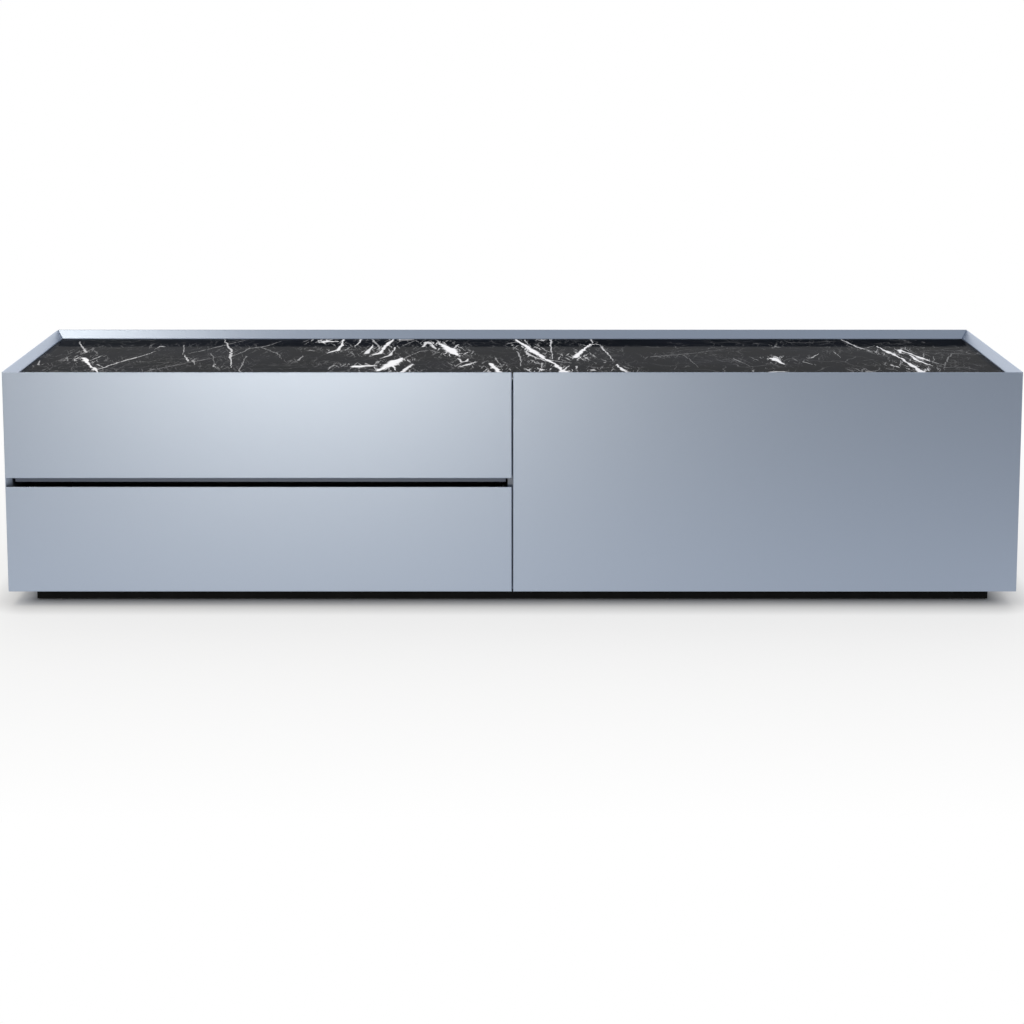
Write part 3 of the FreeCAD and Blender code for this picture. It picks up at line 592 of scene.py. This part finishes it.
def floor_material():
    """A pale matt floor that keeps the object's shadow and turns white away from it."""
    paint = Paint("studio_floor")
    paint.set(Base_Color=tone(208, 208, 208), Roughness=0.9)
    glow = paint.add("ShaderNodeEmission", Color=WHITE, Strength=1.0)
    path = paint.add("ShaderNodeLightPath").outputs
    past_foot = paint.vector("SUBTRACT", paint.vector("ABSOLUTE", paint.place), FOOT_HALF)
    outside = paint.vector("MAXIMUM", past_foot, (0.0, 0.0, 0.0))
    clear = paint.vector("LENGTH", outside, result="Value")
    close_by = paint.span(clear, 0.0, SHADOW_NEAR[0], end=SHADOW_NEAR[1])
    further = paint.span(clear, SHADOW_NEAR[0], SHADOW_FAR[0], end=SHADOW_FAR[1])
    seen = paint.compute("ADD", close_by, further)
    in_gloss = paint.span(clear, GLOSS_NEAR[0], GLOSS_FAR[0], GLOSS_NEAR[1], GLOSS_FAR[1])
    gloss = paint.compute("MULTIPLY", mirrored_rays(paint, path), in_gloss)
    share = paint.compute("MULTIPLY_ADD", path["Is Camera Ray"], seen, gloss)
    surface = paint.mix_shaders(share, paint.shader.outputs["BSDF"], glow.outputs["Emission"])
    paint.give(paint.tree.nodes["Material Output"].inputs["Surface"], surface)
    return paint.material


corners = ((-1, -1), (1, -1), (1, 1), (-1, 1))
floor_mesh = bpy.data.meshes.new("floor")
floor_mesh.from_pydata([(x * FLOOR_HALF, y * FLOOR_HALF, 0.0) for x, y in corners], [], [(0, 1, 2, 3)])
floor_mesh.materials.append(floor_material())
floor = bpy.data.objects.new("floor", floor_mesh)
scene.collection.objects.link(floor)

# The studio as gloss shows it, from before the object to behind it: each way's y and its level.
SWEEP = ((-0.85, 0.52), (-0.6, 0.8), (-0.42, 0.8), (-0.24, 0.04), (0.62, 0.04), (0.84, 1.0))
SWEEP_TINT = (0.97, 0.985, 1.0)
SKY_LEVEL = 0.49


def make_studio():
    """The world: white to the camera, the sweep to gloss, and an even sky that lights the rest."""
    world = bpy.data.worlds.new("studio")
    world.use_nodes = True
    tree = NodeTree(world.node_tree)
    path = tree.add("ShaderNodeLightPath").outputs
    way = tree.add("ShaderNodeTexCoord").outputs["Generated"]
    way_y = tree.add("ShaderNodeSeparateXYZ", Vector=way).outputs["Y"]
    sweep = tree.add("ShaderNodeValToRGB", Fac=tree.span(way_y, -1.0, 1.0))
    stops = sweep.color_ramp.elements
    while len(stops) < len(SWEEP):
        stops.new(1.0)
    for stop, (place, level) in zip(stops, SWEEP):
        stop.position = 0.5 + 0.5 * place
        stop.color = scaled(SWEEP_TINT, level)
    sky = world.node_tree.nodes["Background"]
    tree.fill(sky, (WHITE, SKY_LEVEL))
    backdrop = tree.add("ShaderNodeBackground", Color=sweep.outputs["Color"], Strength=1.0)
    white = tree.add("ShaderNodeBackground", Color=WHITE, Strength=1.0)
    mirrored = mirrored_rays(tree, path)
    around = tree.mix_shaders(mirrored, sky.outputs["Background"], backdrop.outputs["Background"])
    surface = tree.mix_shaders(path["Is Camera Ray"], around, white.outputs["Background"])
    tree.give(world.node_tree.nodes["World Output"].inputs["Surface"], surface)
    scene.world = world


def softbox(name, place, aim, size, power, colour):
    """A lamp with a flat rectangular face, turned to a point. The camera doesn't see it."""
    lamp = bpy.data.lights.new(name, "AREA")
    lamp.shape = "RECTANGLE"
    lamp.size, lamp.size_y = size
    lamp.energy = power
    lamp.color = colour
    holder = bpy.data.objects.new(name, lamp)
    holder.location = place
    holder.rotation_mode = "QUATERNION"
    holder.rotation_quaternion = (Vector(aim) - Vector(place)).to_track_quat("-Z", "Y")
    holder.visible_camera = False
    scene.collection.objects.link(holder)


WARM = (1.0, 0.9, 0.74)
NEUTRAL = (1.0, 1.0, 1.0)
make_studio()
softbox(
    "front_box",
    place=(-0.79, -4.2, 0.19),
    aim=(-0.40, -0.25, 0.25),
    size=(1.3, 0.36),
    power=27.0,
    colour=WARM,
)
softbox(
    "upper_left_box",
    place=(-1.6, -0.8, 2.3),
    aim=(-0.8, 0.1, 0.45),
    size=(0.8, 0.8),
    power=11.0,
    colour=WARM,
)
softbox(
    "top_box",
    place=(0.0, 1.6, 2.5),
    aim=(0.0, 0.1, 0.45),
    size=(4.6, 2.6),
    power=53.0,
    colour=NEUTRAL,
)

# The camera looks down by some degrees, and its picture is shifted by some pixels. Its lens and
# sensor are in millimetres.
CAMERA_PLACE = (-0.0008, -4.1847, 1.2169)
CAMERA_DOWN = 7.128
CAMERA_LENS = 71.831
CAMERA_SENSOR = 36.0
CAMERA_REACH = 200.0
PICTURE_SIDE = 1024
SHIFT_PIXELS = -268

camera = bpy.data.cameras.new("camera")
camera.lens = CAMERA_LENS
camera.sensor_width = CAMERA_SENSOR
camera.shift_y = SHIFT_PIXELS / PICTURE_SIDE
camera.clip_end = CAMERA_REACH
viewer = bpy.data.objects.new("camera", camera)
viewer.location = CAMERA_PLACE
viewer.rotation_euler = (math.radians(90.0 - CAMERA_DOWN), 0.0, 0.0)
scene.collection.objects.link(viewer)
scene.camera = viewer
